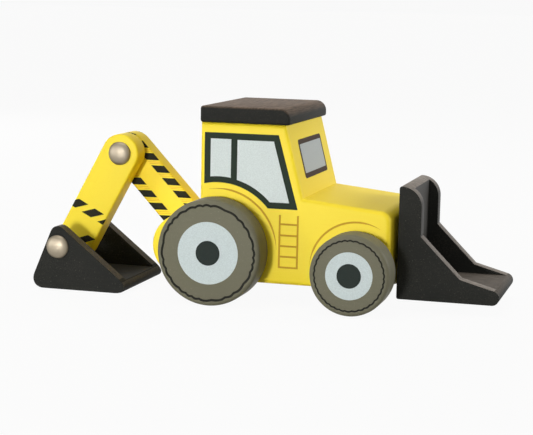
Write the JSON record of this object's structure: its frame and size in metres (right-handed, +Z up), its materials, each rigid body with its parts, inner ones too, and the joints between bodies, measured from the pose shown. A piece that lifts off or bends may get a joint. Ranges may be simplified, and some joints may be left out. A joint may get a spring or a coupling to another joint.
{
  "type": "wooden toy backhoe loader",
  "caption": "Painted wooden toy backhoe loader with rolling wheels, a folding backhoe arm with its bucket, and a tilting loader bucket at the front.",
  "frame": {"origin": "on the floor, under the middle of the toy's length and width", "axes": "+X forwards to the loader bucket, +Y to the toy's left, +Z up"},
  "size_m": [0.2714, 0.1218, 0.1108],
  "materials": {
    "yellow_paint": "satin lacquer paint on wood",
    "black_paint": "matt paint on wood",
    "grey_paint": "matt paint on wood",
    "dowel": "bare beech",
    "steel": "nickel-plated steel"
  },
  "bodies": {
    "body": {"body_left": "yellow_paint", "body_middle": "yellow_paint", "body_right": "yellow_paint", "roof": "black_paint", "tail_rod": "steel", "nose_rod": "steel"},
    "rear_wheels": {"rear_axle": "dowel", "rear_wheel_left": "grey_paint", "rear_wheel_right": "grey_paint"},
    "front_wheels": {"front_axle": "dowel", "front_wheel_left": "grey_paint", "front_wheel_right": "grey_paint"},
    "boom": {"boom": "yellow_paint", "elbow_rod": "steel", "elbow_cap_left": "steel", "elbow_cap_right": "steel"},
    "dipper": {"dipper": "yellow_paint"},
    "hoe_bucket": {"hoe_bucket": "black_paint", "hoe_rod": "steel", "hoe_cap_left": "steel", "hoe_cap_right": "steel"},
    "loader_bucket": {"loader_bucket": "black_paint", "loader_tongue": "dowel"}
  },
  "joints": [
    {"name": "rear_axle_spin", "type": "hinge", "parent": "body", "child": "rear_wheels", "pos_m": [-0.02342, 0, 0.03], "axis": [0, 1, 0], "continuous": true},
    {"name": "front_axle_spin", "type": "hinge", "parent": "body", "child": "front_wheels", "pos_m": [0.05738, 0, 0.0226], "axis": [0, 1, 0], "continuous": true},
    {"name": "boom_hinge", "type": "hinge", "parent": "body", "child": "boom", "pos_m": [-0.04532, 0, 0.0297], "axis": [0, 1, 0], "range_deg": [-45, 28]},
    {"name": "dipper_hinge", "type": "hinge", "parent": "boom", "child": "dipper", "pos_m": [-0.09172, 0, 0.079], "axis": [0, 1, 0], "range_deg": [-5, 105]},
    {"name": "hoe_bucket_hinge", "type": "hinge", "parent": "dipper", "child": "hoe_bucket", "pos_m": [-0.12042, -0.014, 0.0252], "axis": [0, 1, 0], "range_deg": [-25, 72]},
    {"name": "loader_hinge", "type": "hinge", "parent": "body", "child": "loader_bucket", "pos_m": [0.06658, 0, 0.0435], "axis": [0, -1, 0], "range_deg": [-3.5, 18]}
  ]
}
